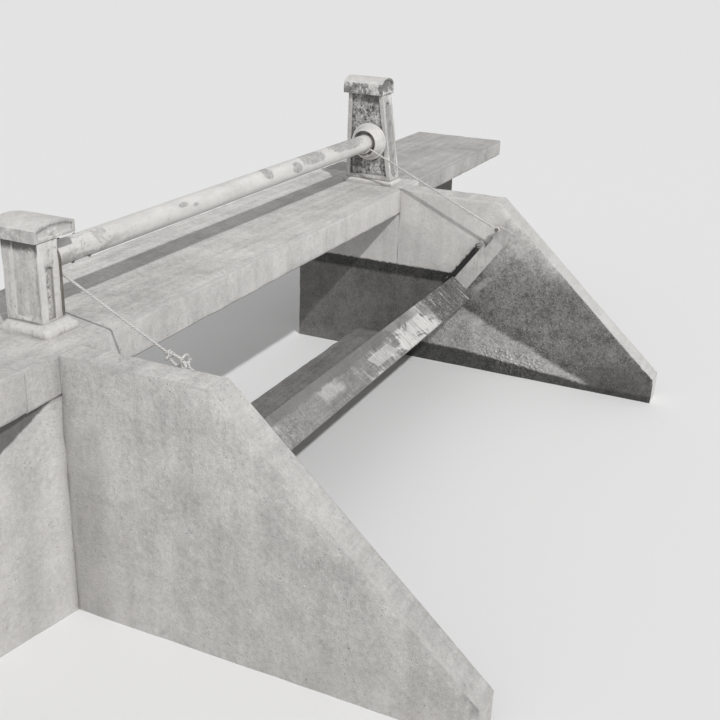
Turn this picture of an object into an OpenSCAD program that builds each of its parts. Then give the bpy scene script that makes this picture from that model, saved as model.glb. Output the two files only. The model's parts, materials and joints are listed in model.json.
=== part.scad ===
// Tilting sluice gate: a concrete footbridge over a narrow channel with sloping wing walls.
// A steel winch tube between two capped posts holds the bottom-hinged flap by two ropes.
// X runs along the deck to the far bank, Y runs upstream, Z is up from the foot of the walls.

/* [Waterway] */
// clear width between the wing walls
channel_w = 3500; // [2600:50:5000]
// thickness of the near bank's walls
wall_t = 150; // [100:10:250]
// thickness of the far bank's walls
far_wall_t = 176; // [100:2:250]
// worn arris on the concrete edges
arris = 9; // [3:1:20]

/* [Deck] */
// top of the deck above the foot of the walls
deck_top = 1250; // [1100:10:1800]
// width of the deck across the channel wall
deck_w = 800; // [600:20:1400]
// thickness of the deck and the near approach slab
slab_t = 185; // [120:5:250]
// thickness of the far approach slab
far_slab_t = 132; // [100:2:250]
// how far the deck slab runs past the land face of the walls
deck_over = 200; // [160:10:400]
// length of each approach slab
approach_len = 2000; // [600:50:3000]

/* [Wing walls] */
// level top of a wing wall, downstream of the deck
wing_flat = 730; // [500:10:1200]
// whole length of a wing wall, downstream of the deck
wing_len = 1920; // [1500:20:3000]
// height of the upright toe at the wing wall's end
toe_h = 170; // [80:10:400]

/* [Return walls] */
// length of the wall under each approach slab
return_len = 1900; // [600:50:2400]
// angle by which a return wall draws back from the deck's edge
return_splay = 10; // [4:1:14]

/* [Sill] */
// width of the sill beam up the stream
sill_w = 340; // [240:10:600]
// height of the sill beam
sill_h = 150; // [80:10:200]

/* [Near post] */
// how far the shaft stands out past the wall's channel face
near_out = 20; // [0:5:100]
// thickness of the shaft along the deck
near_t = 125; // [100:5:240]
// width of the shaft up the stream
near_w = 195; // [160:5:300]
// top of the shaft above the deck
near_h = 414; // [400:2:600]
// height of the plinth
near_plinth_h = 56; // [30:2:100]
// how far the plinth stands out round the shaft
near_plinth_out = 26; // [15:1:50]
// how far the cap stands out past the shaft's land face
near_cap_out = 18; // [6:1:60]
// width of the cap along the deck
near_cap_x = 258; // [220:2:340]
// length of the cap up the stream
near_cap_y = 262; // [220:2:400]
// thickness of the bearing stand on the shaft's channel face
stand_t = 30; // [20:1:60]
// width of the round-topped slots in the shaft
near_slot_w = 46; // [30:2:60]
// top of those slots above the deck
near_slot_top = 300; // [240:5:360]

/* [Far post] */
// distance of the shaft's channel face from the wall's channel face
far_set = 50; // [10:5:100]
// thickness of the shaft along the deck
far_t = 160; // [120:5:240]
// width of the shaft at its foot
far_foot_w = 350; // [260:5:420]
// width of the shaft under the cap
far_head_w = 262; // [200:2:320]
// top of the shaft above the deck
far_h = 628; // [500:2:800]
// height of the plinth
far_plinth_h = 32; // [20:2:80]
// how far the plinth stands out round the shaft
far_plinth_out = 18; // [10:1:40]
// width of the cap along the deck
far_cap_x = 210; // [180:2:300]
// length of the cap up the stream
far_cap_y = 296; // [260:2:400]

/* [Caps and panels] */
// height of the near cap's upright edge
near_fascia_h = 54; // [30:2:80]
// height of the far cap's upright edge
far_fascia_h = 73; // [30:1:90]
// rise of the near cap's rounded roof
near_cap_rise = 22; // [12:1:60]
// rise of the far cap's rounded roof
far_cap_rise = 40; // [20:1:70]
// depth of the sunk panels in the shafts
panel_d = 12; // [6:1:25]
// depth of the sunk panel in the near shaft's land face
near_panel_d = 6; // [3:1:20]
// border of that panel on its upstream side
near_panel_side = 58; // [20:1:80]
// border of that panel on its downstream side
near_panel_edge = 9; // [6:1:40]
// width of the border left round a panel
border = 30; // [18:1:45]

/* [Winch] */
// outside diameter of the winch tube
tube_d = 116; // [90:1:150]
// wall of the winch tube
tube_wall = 5; // [3:0.5:10]
// height of the tube's axis above the deck
tube_z = 301; // [280:1:330]
// distance of the tube's axis behind the deck's downstream edge
tube_y = 280; // [250:1:320]
// diameter of the journals that turn in the posts
journal_d = 60; // [40:1:80]
// depth of the journal holes in the posts
journal_in = 70; // [40:1:90]
// outside diameter of the bearing sleeve at the far post
sleeve_d = 236; // [220:1:250]
// clear gap between tube and bearing sleeve
sleeve_gap = 22; // [8:1:26]
// length of the bearing sleeve
sleeve_len = 100; // [60:1:160]

/* [Ropes] */
// diameter of the lifting ropes
rope_d = 12; // [8:1:20]
// diameter of the round bar in hooks and shackle
hook_d = 14; // [10:1:20]
// angle below the tube, from straight down, at which the near rope leaves its hook
near_leave = 32; // [10:1:60]
// angle below the tube, from straight down, at which the far rope leaves its hook
far_leave = 62; // [10:1:80]
// place of the shackle, along the near rope from the tube
shackle_at = 716; // [560:2:760]

/* [Flap] */
// lean of the flap downstream from upright as it stands
flap_lean = 36; // [30:1:45]
// height of the hinge axis above the foot of the walls
hinge_z = 170; // [150:1:260]
// distance of the hinge axis downstream of the deck's edge
hinge_y = 95; // [80:1:200]
// height of the crest above the hinge axis, along the flap
crest_h = 632; // [500:2:760]
// whole thickness of the crest
crest_t = 200; // [150:2:260]
// thickness of the crest board
crest_board_t = 42; // [30:1:80]
// thickness of the flap's boards
board_t = 60; // [40:2:80]
// number of boards
boards = 5; // [3:1:8]
// clearance between the flap's frame and the walls
side_gap = 34; // [28:1:60]
// width of an arm across its face
arm_w = 105; // [80:1:140]
// height of the arm's fold above the hinge axis, along the arm
arm_fold = 1052; // [960:2:1200]
// inward fold of the arm's tip
tip_fold = 8; // [0:1:15]
// diameter of the hinge rod
hinge_d = 32; // [24:1:50]

/* [Hidden] */
$fn = 48;
seat = 0.3;
fit = 0.1;
half_w = channel_w / 2;
land_x = half_w + wall_t;
deck_end = land_x + deck_over;
approach_end = deck_end + approach_len;
face_y = (wing_len - deck_w) / 2;
slab_z = deck_top - slab_t;
far_slab_z = deck_top - far_slab_t;
slope = atan2(deck_top - toe_h, wing_len - wing_flat);
// posts, counted from the middle of the deck
near_x0 = half_w + near_out - near_t;
near_x1 = half_w + near_out;
near_y0 = tube_y - near_w / 2;
far_x0 = half_w + far_set;
far_x1 = far_x0 + far_t;
far_y1 = tube_y + far_foot_w / 2;
// winch
tube_r = tube_d / 2;
plate_t = 6;
end_t = 6;
run_gap = 6;
near_end = near_x0 - stand_t - plate_t - run_gap - end_t;
far_end = far_x0 - 8 - run_gap - end_t;
hook_ring = tube_r + seat + hook_d / 2;
near_hook_x = near_end - hook_d / 2 - 1;
far_hook_x = far_x0 - sleeve_len - 20;
// flap, in its own upright frame with the hinge axis at the origin
flap_half = half_w - side_gap - 16;
arm_t = 12;
flange_x = half_w - 10;
boards_face = 15;
arm_face = -20;
bar_t = 8;
pin_y = arm_face + 20;
pin_z = arm_fold + 70;
pin_d = 14;
knuckle_r = hinge_d / 2 + 12;
foot_r = 46;
rib_x = [-1050, -350, 350, 1050];
rib_t = 12;
knuckle_w = 56;
sill_gap = foot_r + 8;
sill_y0 = -hinge_y + sill_gap;
// lengths along the arm that follow its height
tip_len = 0.112 * arm_fold;
flange_end = 0.105 * arm_fold;
bar_end = 0.091 * arm_fold;
seal_end = 0.084 * arm_fold;
strap_len = 0.38 * crest_h;
tip_in = (pin_z - arm_fold) * tan(tip_fold);
// each rope runs from its hook on the tube to the pin in the arm's tip
function leave(angle) = [tube_y - hook_ring * sin(angle), tube_z - hook_ring * cos(angle)];
near_rope_a = leave(near_leave);
far_rope_a = leave(far_leave);
rope_b = [
    -hinge_y + pin_y * cos(flap_lean) - pin_z * sin(flap_lean),
    hinge_z - deck_top + pin_y * sin(flap_lean) + pin_z * cos(flap_lean)
];
eye_x = flap_half - tip_in - 14;
eye_r = pin_d / 2 + 1;
eye_bar = rope_d;

function land(side) = side > 0 ? half_w + far_wall_t : land_x;
function under_slab(side) = side > 0 ? far_slab_z : slab_z;

// side is 1 at the far bank and -1 at the near bank
module at_side(side) {
    if (side > 0) children();
    else mirror([1, 0, 0]) children();
}

// moves to the deck's downstream edge at the foot of the walls
module from_foot() {
    translate([0, face_y, 0]) children();
}

// moves to the deck's downstream edge at the top of the deck
module from_deck() {
    translate([0, face_y, deck_top]) children();
}

// extrudes an outline drawn in Y and Z from x0 to x1
module along_x(x0, x1) {
    translate([x0, 0, 0]) rotate([90, 0, 90]) linear_extrude(x1 - x0) children();
}

// a round bar along X from x0 to x1
module bar_x(x0, x1, d) {
    translate([x0, 0, 0]) rotate([0, 90, 0]) cylinder(h = x1 - x0, d = d);
}

// a round bar from point a to point b
module bar_between(a, b, d) {
    v = b - a;
    l = norm(v);
    translate(a)
        rotate([0, acos(v[2] / l), atan2(v[1], v[0])])
            cylinder(h = l, d = d, $fn = 16);
}

// box between two corners
module box(a, b) {
    translate(a) cube(b - a);
}

// slab outline with worn arrises, from its lower downstream corner
function slab_outline(w, t, c) = [
    [c, 0], [w - c, 0], [w, c], [w, t - c], [w - c, t], [c, t], [0, t - c], [0, c]
];

// wing wall outline, drawn in by c at its top, slope and toe
function wing_outline(c) = [
    [0, 0],
    [0, deck_top - c],
    [-wing_flat + c * tan(slope / 2), deck_top - c],
    [-wing_len + c, toe_h - c * tan(slope / 2)],
    [-wing_len + c, 0]
];

module wing_wall(side) {
    at_side(side) from_foot() hull() {
        along_x(half_w + arris, land(side) - arris) polygon(wing_outline(0));
        along_x(half_w, land(side)) polygon(wing_outline(arris));
    }
}

module abutment_wall(side) {
    at_side(side) from_foot()
        box([half_w, 0, 0], [land(side), deck_w, slab_z]);
}

module return_wall(side) {
    run = return_len * cos(return_splay);
    back = return_len * sin(return_splay);
    deep = wall_t / cos(return_splay);
    at_side(side) from_foot() {
        linear_extrude(slab_z)
            polygon([
                [land(side), 0],
                [land(side) + run, back],
                [land(side) + run, back + deep],
                [land(side), deep]
            ]);
        // the part past the deck slab's end rises to the approach slab
        ahead = (deck_end - land(side)) * tan(return_splay);
        if (under_slab(side) > slab_z) translate([0, 0, slab_z - 1])
            linear_extrude(under_slab(side) - slab_z + 1)
                polygon([
                    [deck_end + seat, ahead],
                    [land(side) + run, back],
                    [land(side) + run, back + deep],
                    [deck_end + seat, ahead + deep]
                ]);
    }
}

module slab(x0, x1, t) {
    from_foot() translate([0, 0, deck_top - t])
        along_x(x0, x1) polygon(slab_outline(deck_w, t, arris));
}

// plinth with a sloping top edge round the shaft
module plinth(x0, x1, y0, y1, h) {
    top = h / 2;
    hull() {
        box([x0, y0, 0], [x1, y1, h - top]);
        box([x0 + top, y0 + top, 0], [x1 - top, y1 - top, h]);
    }
}

// cap with an upright edge, a rounded roof and sunk gable ends
module post_cap(x0, x1, y0, y1, fascia, rise) {
    mid = (x0 + x1) / 2;
    half = (x1 - x0) / 2;
    roof_r = (half * half + rise * rise) / (2 * rise);
    rim = 16;
    module gable(inset) {
        intersection() {
            translate([-half + inset, inset]) square([2 * (half - inset), fascia + rise]);
            translate([0, fascia + rise - roof_r]) circle(r = roof_r - inset, $fn = 144);
        }
    }
    difference() {
        translate([mid, y1, 0]) rotate([90, 0, 0]) linear_extrude(y1 - y0) gable(0);
        for (y = [y0 + 6, y1 + 1])
            translate([mid, y, 0]) rotate([90, 0, 0]) linear_extrude(7) gable(rim);
    }
}

module near_shaft() {
    x0 = near_x0;
    x1 = near_x1;
    y0 = near_y0;
    y1 = near_y0 + near_w;
    mid = (x0 + x1) / 2;
    panel_z0 = near_plinth_h + 8;
    round_z = near_slot_top - near_slot_w / 2;
    difference() {
        box([x0, y0, near_plinth_h], [x1, y1, near_h]);
        // sunk panel in the land face
        box([x1 - near_panel_d, y0 + near_panel_edge, panel_z0 + border / 2],
            [x1 + 1, y1 - near_panel_side, near_h + 1]);
        // round-topped slots in the downstream and upstream faces
        for (y = [y0 - 1, y1 - panel_d]) {
            box([mid - near_slot_w / 2, y, panel_z0], [mid + near_slot_w / 2, y + panel_d + 1, round_z]);
            translate([mid, y, round_z]) rotate([-90, 0, 0]) cylinder(h = panel_d + 1, d = near_slot_w);
        }
        // journal hole
        translate([0, tube_y, tube_z]) bar_x(x0 - 1, x0 + journal_in, journal_d + 2 * fit);
    }
}

// far shaft outline, drawn in by c at its sides, from z0 to z1
function far_outline(c, z0, z1) =
    let (batter = (far_foot_w - far_head_w) / (far_h - far_plinth_h))
    [
        [far_y1 - far_foot_w + c + batter * (z0 - far_plinth_h), z0],
        [far_y1 - far_foot_w + c + batter * (z1 - far_plinth_h), z1],
        [far_y1 - c, z1],
        [far_y1 - c, z0]
    ];

module far_shaft() {
    mid = (far_x0 + far_x1) / 2;
    slot_w = 66;
    panel_z0 = far_plinth_h + border;
    boss_d = sleeve_d + 2 * border;
    difference() {
        along_x(far_x0, far_x1) polygon(far_outline(0, far_plinth_h, far_h));
        // sunk panels in the channel face and the land face, with the bearing's seat left standing
        difference() {
            along_x(far_x0 - 1, far_x0 + panel_d) polygon(far_outline(border, panel_z0, far_h + 1));
            translate([0, tube_y, tube_z]) bar_x(far_x0 - 2, far_x0 + panel_d + 1, sleeve_d + 8);
        }
        along_x(far_x1 - panel_d, far_x1 + 1) polygon(far_outline(border, panel_z0, far_h + 1));
        // long slots in the downstream and upstream faces
        difference() {
            along_x(mid - slot_w / 2, mid + slot_w / 2)
                polygon(far_outline(-1, panel_z0, far_h - 2 * border));
            along_x(mid - slot_w, mid + slot_w)
                polygon(far_outline(panel_d, panel_z0 - 1, far_h - border));
        }
        // journal hole
        translate([0, tube_y, tube_z]) bar_x(far_x0 - 1, far_x0 + journal_in, journal_d + 2 * fit);
    }
}

module journal(x_tube, x_tip) {
    from_deck() translate([0, tube_y, tube_z]) {
        bar_x(min(x_tube, x_tube + end_t * sign(x_tip)), max(x_tube, x_tube + end_t * sign(x_tip)), tube_d);
        bar_x(min(x_tube + sign(x_tip), x_tip), max(x_tube + sign(x_tip), x_tip), journal_d);
    }
}

// bent hook under the tube, from the rope round to the upstream side
module rope_hook(x, angle) {
    from_deck() translate([x, tube_y, tube_z]) rotate([180, 0, 0]) rotate([90, 0, 90])
        rotate([0, 0, 90 - angle]) rotate_extrude(angle = 75, $fn = 64)
            translate([hook_ring, 0]) circle(d = hook_d, $fn = 24);
}

// eye of a rope, standing across X round a pin at the origin
module rope_eye() {
    rotate([0, 90, 0]) rotate_extrude($fn = 32)
        translate([eye_r + eye_bar / 2, 0]) circle(d = eye_bar, $fn = 12);
}

// point on a rope, a length away from its hook
function rope_point(at, from, hook_x, side) =
    let (s = at / norm(rope_b - from), end_x = side * eye_x)
    [hook_x + (end_x - hook_x) * s, from[0] + (rope_b[0] - from[0]) * s, from[1] + (rope_b[1] - from[1]) * s];
function near_at(at) = rope_point(at, near_rope_a, -near_hook_x, -1);
function far_at(at) = rope_point(at, far_rope_a, far_hook_x, 1);

rope_start = hook_d / 2 + seat;
rope_end = eye_r + eye_bar / 2;
near_rope_stop = norm(rope_b - near_rope_a) - rope_end;
far_rope_stop = norm(rope_b - far_rope_a) - rope_end;
shackle_len = 5 * hook_d;

// moves to the hinge axis and leans the flap
module on_flap() {
    translate([0, face_y - hinge_y, hinge_z]) rotate([flap_lean, 0, 0]) children();
}

// arm outline in the flap's frame, up to its fold
function arm_outline() = [
    [arm_face - arm_w, foot_r],
    [arm_face - arm_w + 14, arm_fold],
    [arm_face + 3, arm_fold],
    [arm_face, arm_fold - 8],
    [arm_face, foot_r]
];

// outline of the upright tip, above the fold
function tip_outline() = [
    [arm_face - arm_w + 14, -3],
    [arm_face - arm_w + 11, 0.25 * tip_len],
    [arm_face - 48, tip_len],
    [arm_face + 14, 0.84 * tip_len],
    [arm_face + 40, 0.60 * tip_len],
    [arm_face + 3, -3]
];

module flap_arm(side) {
    at_side(side) on_flap() difference() {
        union() {
            along_x(flap_half, flap_half + arm_t) polygon(arm_outline());
            // upright tip, folded in towards the stream
            translate([flap_half, 0, arm_fold]) rotate([0, -tip_fold, 0])
                along_x(0, arm_t) polygon(tip_outline());
            // rounded foot round the hinge rod
            along_x(flap_half, flap_half + arm_t) hull() {
                circle(r = foot_r);
                translate([arm_face - arm_w, foot_r / 2]) square([arm_w, foot_r / 2]);
            }
            // flange that carries the side seal
            box([flap_half, arm_face, foot_r + 20], [flange_x - 8, arm_face + 12, arm_fold - flange_end]);
        }
        bar_x(flap_half - 1, flap_half + arm_t + 1, hinge_d + 2 * fit);
        translate([0, pin_y, pin_z]) bar_x(flap_half - 2 * tip_in, flap_half + arm_t + 1, pin_d + 2 * fit);
    }
}

module seal_bar(side) {
    at_side(side) on_flap()
        box([flap_half, arm_face + 12, foot_r + 20], [flange_x - 8, arm_face + 12 + bar_t, arm_fold - bar_end]);
}

module side_seal(side) {
    at_side(side) on_flap()
        box([flap_half + 4, arm_face + 12 + bar_t, foot_r + 4], [flange_x, arm_face + 12 + bar_t + 38, arm_fold - seal_end]);
}

module tip_pin(side) {
    at_side(side) on_flap() translate([0, pin_y, pin_z]) {
        bar_x(eye_x - 9, flap_half + arm_t + 2, pin_d);
        bar_x(eye_x - 15, eye_x - 9, pin_d + 10);
    }
}

module board_rows() {
    z0 = 44;
    z1 = crest_h - crest_board_t;
    pitch = (z1 - z0) / boards;
    gap = 2;
    for (i = [0 : boards - 1])
        box([-flap_half, boards_face - board_t, z0 + i * pitch],
            [flap_half, boards_face, z0 + (i + 1) * pitch - gap]);
}

module rib_rows() {
    for (x = rib_x)
        translate([x, 0, 0]) {
            box([-rib_t / 2, arm_face - arm_w, 70], [rib_t / 2, boards_face - board_t - 8, crest_h - crest_board_t]);
            box([-35, boards_face - board_t - 8, 70], [35, boards_face - board_t, crest_h - crest_board_t]);
        }
}

// strap from the boards down to a round knuckle on the hinge rod
module knuckle(x) {
    difference() {
        union() {
            along_x(x - knuckle_w / 2, x + knuckle_w / 2) circle(r = knuckle_r);
            box([x - knuckle_w / 2, boards_face - board_t - 10, 0],
                [x + knuckle_w / 2, boards_face - board_t, strap_len]);
            box([x - knuckle_w / 2, boards_face - board_t - 10, 0], [x + knuckle_w / 2, 0, 26]);
        }
        bar_x(x - knuckle_w, x + knuckle_w, hinge_d + 2 * fit);
    }
}

// bracket from the sill beam out to the hinge rod
module bracket(x) {
    w = 50;
    difference() {
        along_x(x - w / 2, x + w / 2) hull() {
            circle(r = knuckle_r);
            translate([sill_gap - 8, -hinge_z]) square([8, sill_h]);
        }
        bar_x(x - w, x + w, hinge_d + 2 * fit);
    }
}

knuckle_x = [-1250, -600, 600, 1250];
bracket_x = [-1180, -530, 530, 1180];

module near_abutment_wall() color([0.72, 0.72, 0.70]) abutment_wall(-1);
module far_abutment_wall() color([0.72, 0.72, 0.70]) abutment_wall(1);
module near_wing_wall() color([0.74, 0.74, 0.72]) wing_wall(-1);
module far_wing_wall() color([0.74, 0.74, 0.72]) wing_wall(1);
module near_return_wall() color([0.70, 0.70, 0.68]) return_wall(-1);
module far_return_wall() color([0.70, 0.70, 0.68]) return_wall(1);

module sill_beam() color([0.55, 0.55, 0.52]) from_foot()
    box([-half_w, sill_y0, 0], [half_w, sill_y0 + sill_w, sill_h]);

module deck_slab() color([0.76, 0.76, 0.74]) slab(-deck_end, deck_end, slab_t);
module near_approach_slab() color([0.76, 0.76, 0.74]) slab(-approach_end, -deck_end, slab_t);
module far_approach_slab() color([0.76, 0.76, 0.74]) slab(deck_end, approach_end, far_slab_t);

module near_post_plinth() color([0.74, 0.74, 0.72]) at_side(-1) from_deck()
    plinth(near_x0 - stand_t - near_plinth_out, near_x1 + near_plinth_out,
        near_y0 - near_plinth_out - 12, near_y0 + near_w + near_plinth_out, near_plinth_h);

module near_post() color([0.78, 0.78, 0.76]) at_side(-1) from_deck() near_shaft();

module near_post_cap() color([0.80, 0.80, 0.78]) at_side(-1) from_deck() translate([0, 0, near_h])
    post_cap(near_x1 + near_cap_out - near_cap_x, near_x1 + near_cap_out,
        near_y0 - 5, near_y0 - 5 + near_cap_y, near_fascia_h, near_cap_rise);

module far_post_plinth() color([0.74, 0.74, 0.72]) from_deck()
    plinth(far_x0 - far_plinth_out, far_x1 + far_plinth_out,
        far_y1 - far_foot_w - far_plinth_out, far_y1 + far_plinth_out, far_plinth_h);

module far_post() color([0.78, 0.78, 0.76]) from_deck() far_shaft();

module far_post_cap() color([0.80, 0.80, 0.78]) from_deck() translate([0, 0, far_h])
    post_cap((far_x0 + far_x1 - far_cap_x) / 2, (far_x0 + far_x1 + far_cap_x) / 2,
        far_y1 - far_head_w - 6, far_y1 - far_head_w - 6 + far_cap_y, far_fascia_h, far_cap_rise);

// dark upright stand beside the shaft, with a round head for the journal
module near_bearing_stand() color([0.30, 0.30, 0.29]) at_side(-1) from_deck() difference() {
    union() {
        box([near_x0 - stand_t, near_y0 + 10, near_plinth_h], [near_x0, near_y0 + near_w - 10, tube_z]);
        translate([0, tube_y, tube_z]) bar_x(near_x0 - stand_t, near_x0, near_w - 20);
    }
    translate([0, tube_y, tube_z]) bar_x(near_x0 - stand_t - 1, near_x0 + 1, journal_d + 2 * fit);
}

module near_bearing_plate() color([0.62, 0.62, 0.60]) at_side(-1) from_deck()
    translate([0, tube_y, tube_z]) difference() {
        bar_x(near_x0 - stand_t - plate_t, near_x0 - stand_t, tube_d + 20);
        bar_x(near_x0 - stand_t - plate_t - 1, near_x0 - stand_t + 1, journal_d + 2 * fit);
    }

module far_bearing_sleeve() color([0.80, 0.80, 0.78]) from_deck()
    translate([0, tube_y, tube_z]) difference() {
        union() {
            bar_x(far_x0 - 16, far_x0, sleeve_d + 24);
            bar_x(far_x0 - sleeve_len, far_x0 - 10, sleeve_d);
        }
        bar_x(far_x0 - sleeve_len - 1, far_x0 - 8, tube_d + 2 * sleeve_gap);
        bar_x(far_x0 - 20, far_x0 + 1, journal_d + 2 * fit);
    }

module winch_tube() color([0.82, 0.82, 0.80]) from_deck() translate([0, tube_y, tube_z]) difference() {
    bar_x(-near_end, far_end, tube_d);
    bar_x(-near_end - 1, far_end + 1, tube_d - 2 * tube_wall);
}

module near_journal() color([0.45, 0.45, 0.44]) journal(-near_end, -(near_x0 + journal_in - 4));
module far_journal() color([0.45, 0.45, 0.44]) journal(far_end, far_x0 + journal_in - 4);
module near_rope_hook() color([0.55, 0.55, 0.54]) rope_hook(-near_hook_x, near_leave);
module far_rope_hook() color([0.55, 0.55, 0.54]) rope_hook(far_hook_x, far_leave);

module far_rope() color([0.70, 0.68, 0.62]) from_deck() {
    bar_between(far_at(rope_start), far_at(far_rope_stop), rope_d);
    translate([eye_x, rope_b[0], rope_b[1]]) rope_eye();
}

module near_rope() color([0.70, 0.68, 0.62]) from_deck()
    bar_between(near_at(rope_start), near_at(shackle_at), rope_d);

module near_shackle() color([0.60, 0.60, 0.58]) from_deck()
    bar_between(near_at(shackle_at + seat), near_at(shackle_at + shackle_len), 2.4 * rope_d);

module near_rope_tail() color([0.70, 0.68, 0.62]) from_deck() {
    bar_between(near_at(shackle_at + shackle_len + seat), near_at(near_rope_stop), rope_d);
    translate([-eye_x, rope_b[0], rope_b[1]]) rope_eye();
}

module near_tip_pin() color([0.45, 0.45, 0.44]) tip_pin(-1);
module far_tip_pin() color([0.45, 0.45, 0.44]) tip_pin(1);
module near_flap_arm() color([0.74, 0.74, 0.72]) flap_arm(-1);
module far_flap_arm() color([0.74, 0.74, 0.72]) flap_arm(1);
module flap_boards() color([0.36, 0.34, 0.30]) on_flap() board_rows();

module flap_crest_board() color([0.48, 0.46, 0.42]) on_flap()
    box([-flap_half, boards_face - crest_t, crest_h - crest_board_t], [flap_half, boards_face, crest_h]);

module flap_ribs() color([0.40, 0.40, 0.38]) on_flap() rib_rows();

module flap_knuckles() color([0.40, 0.40, 0.38]) on_flap() {
    for (x = knuckle_x) knuckle(x);
}

module near_side_seal() color([0.08, 0.08, 0.08]) side_seal(-1);
module far_side_seal() color([0.08, 0.08, 0.08]) side_seal(1);
module near_seal_bar() color([0.74, 0.74, 0.72]) seal_bar(-1);
module far_seal_bar() color([0.74, 0.74, 0.72]) seal_bar(1);

module hinge_rod() color([0.42, 0.42, 0.40])
    translate([0, face_y - hinge_y, hinge_z]) bar_x(-(flap_half + arm_t + 8), flap_half + arm_t + 8, hinge_d);

module hinge_brackets() color([0.40, 0.40, 0.38]) translate([0, face_y - hinge_y, hinge_z]) {
    for (x = bracket_x) bracket(x);
}

near_abutment_wall();
far_abutment_wall();
near_wing_wall();
far_wing_wall();
near_return_wall();
far_return_wall();
sill_beam();
deck_slab();
near_approach_slab();
far_approach_slab();
near_post_plinth();
near_post();
near_post_cap();
far_post_plinth();
far_post();
far_post_cap();
near_bearing_stand();
near_bearing_plate();
far_bearing_sleeve();
winch_tube();
near_journal();
far_journal();
near_rope_hook();
far_rope_hook();
near_rope();
far_rope();
near_shackle();
near_rope_tail();
near_tip_pin();
far_tip_pin();
near_flap_arm();
far_flap_arm();
flap_boards();
flap_crest_board();
flap_ribs();
flap_knuckles();
near_side_seal();
far_side_seal();
near_seal_bar();
far_seal_bar();
hinge_rod();
hinge_brackets();
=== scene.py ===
"""Looks of a tilting sluice gate under a footbridge: worn concrete, painted tube, wet flap, ropes."""

import json
from math import cos, pi, radians, sin, sqrt, tan, tau

import bmesh
import bpy
from bpy.props import FloatProperty, FloatVectorProperty, IntProperty, PointerProperty
from mathutils import Matrix, Vector, noise
from mathutils.bvhtree import BVHTree


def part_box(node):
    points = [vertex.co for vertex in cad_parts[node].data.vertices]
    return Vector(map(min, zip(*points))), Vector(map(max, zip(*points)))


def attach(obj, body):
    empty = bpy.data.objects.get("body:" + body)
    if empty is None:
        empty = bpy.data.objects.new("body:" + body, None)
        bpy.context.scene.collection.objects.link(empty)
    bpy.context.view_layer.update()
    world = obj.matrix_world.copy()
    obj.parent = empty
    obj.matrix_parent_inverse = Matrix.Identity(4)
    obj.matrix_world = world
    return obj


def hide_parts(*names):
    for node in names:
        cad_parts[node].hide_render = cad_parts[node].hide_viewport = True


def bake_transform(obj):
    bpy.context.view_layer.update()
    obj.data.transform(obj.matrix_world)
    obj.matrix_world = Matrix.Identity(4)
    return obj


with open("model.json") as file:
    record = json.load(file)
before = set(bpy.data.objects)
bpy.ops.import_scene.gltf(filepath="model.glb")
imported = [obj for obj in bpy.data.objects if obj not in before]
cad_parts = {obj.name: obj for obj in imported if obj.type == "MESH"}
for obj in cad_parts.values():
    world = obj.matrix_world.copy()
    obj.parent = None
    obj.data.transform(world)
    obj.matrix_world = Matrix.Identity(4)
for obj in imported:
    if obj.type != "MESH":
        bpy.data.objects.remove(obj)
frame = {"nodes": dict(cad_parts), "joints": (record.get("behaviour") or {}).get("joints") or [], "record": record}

bl_info = {
    "name": "Sluice gate",
    "version": (1, 0, 0),
    "blender": (4, 5, 0),
    "location": "3D View > Sidebar > Sluice gate",
    "description": "Dresses the packed sluice gate with worn concrete, paint, timber, rubber and rope",
    "category": "Object",
}

JOINTS = {joint["name"]: joint for joint in frame["joints"]}
STRUCTURE, FLAP, WINCH = "structure", "flap", "winch"
HINGE = Vector(JOINTS["flap_hinge"]["pos_m"])
TUBE_AXIS = Vector(JOINTS["winch_turn"]["pos_m"])
FLAP_LEAN = radians(36)
DECK_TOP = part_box("deck_slab")[1].z
TUBE_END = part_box("winch_tube")[0].x
TUBE_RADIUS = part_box("winch_tube")[1].z - TUBE_AXIS.z

# Water levels that have stained the walls, in the part's frame
UPSTREAM_LEVEL = DECK_TOP - 0.625
DOWNSTREAM_LEVEL = DECK_TOP - 1.215

# Where each rope leaves its hook: its angle from straight down, and the hook's bar and ring round the tube
ROPE_LEAVE = {"near": radians(32), "far": radians(62)}
HOOK_BAR = 0.0073
HOOK_RING = TUBE_RADIUS + HOOK_BAR
# How far down the near rope its knot and shackle lie, and how far beside the shackle's middle its eyes are
KNOT_AT = 0.655
SHACKLE_AT = 0.752
BESIDE_SHACKLE = 0.0075
# Radius of the eyes on the pins, and how far from an eye's middle its rope ends
EYE_RADIUS = 0.014
EYE_REACH = 0.013

CAMERA_PLACE = Vector((-4.955, -2.156, 2.858))
CAMERA_YAW, CAMERA_PITCH, CAMERA_ROLL = (radians(a) for a in (23.99, 22.07, 2.11))
CAMERA_LENS = 51.31
LIGHT_WAY = Vector((0.60, 0.80, -1.0))

CHANNEL_NODES = ("near_abutment_wall", "far_abutment_wall", "near_wing_wall", "far_wing_wall")
# Where the painted shadow of the near path slab ends, and how much lower it reaches for each metre away
SLAB_SHADOW = (Vector((-1.957, 0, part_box("near_approach_slab")[0].z)), 0.55)
# How far upstream the damp runs down the near wing's outer face, beside the return wall
CORNER_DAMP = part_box("near_return_wall")[0].y - 0.10
POST_NODES = [side + "_post" + part for side in ("near", "far") for part in ("_plinth", "", "_cap")]
# Half width, foot and top of the slots in the posts' upstream and downstream faces, above the deck
SLOTS = {"near_post": (0.023, 0.064, 0.300), "far_post": (0.033, 0.062, 0.568)}
NEAR_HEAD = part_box("near_post")[1].z
FAR_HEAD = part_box("far_post")[1].z
# Where the tube's paint is rubbed off: along the channel, above the tube's axis, half length, half height
RUBBED = (
    (-0.62, 0.036, 0.040, 0.010), (-0.52, 0.020, 0.030, 0.008), (0.27, 0.038, 0.052, 0.028),
    (0.61, 0.018, 0.058, 0.030), (0.84, 0.038, 0.150, 0.031), (1.36, 0.047, 0.230, 0.032),
)
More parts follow.
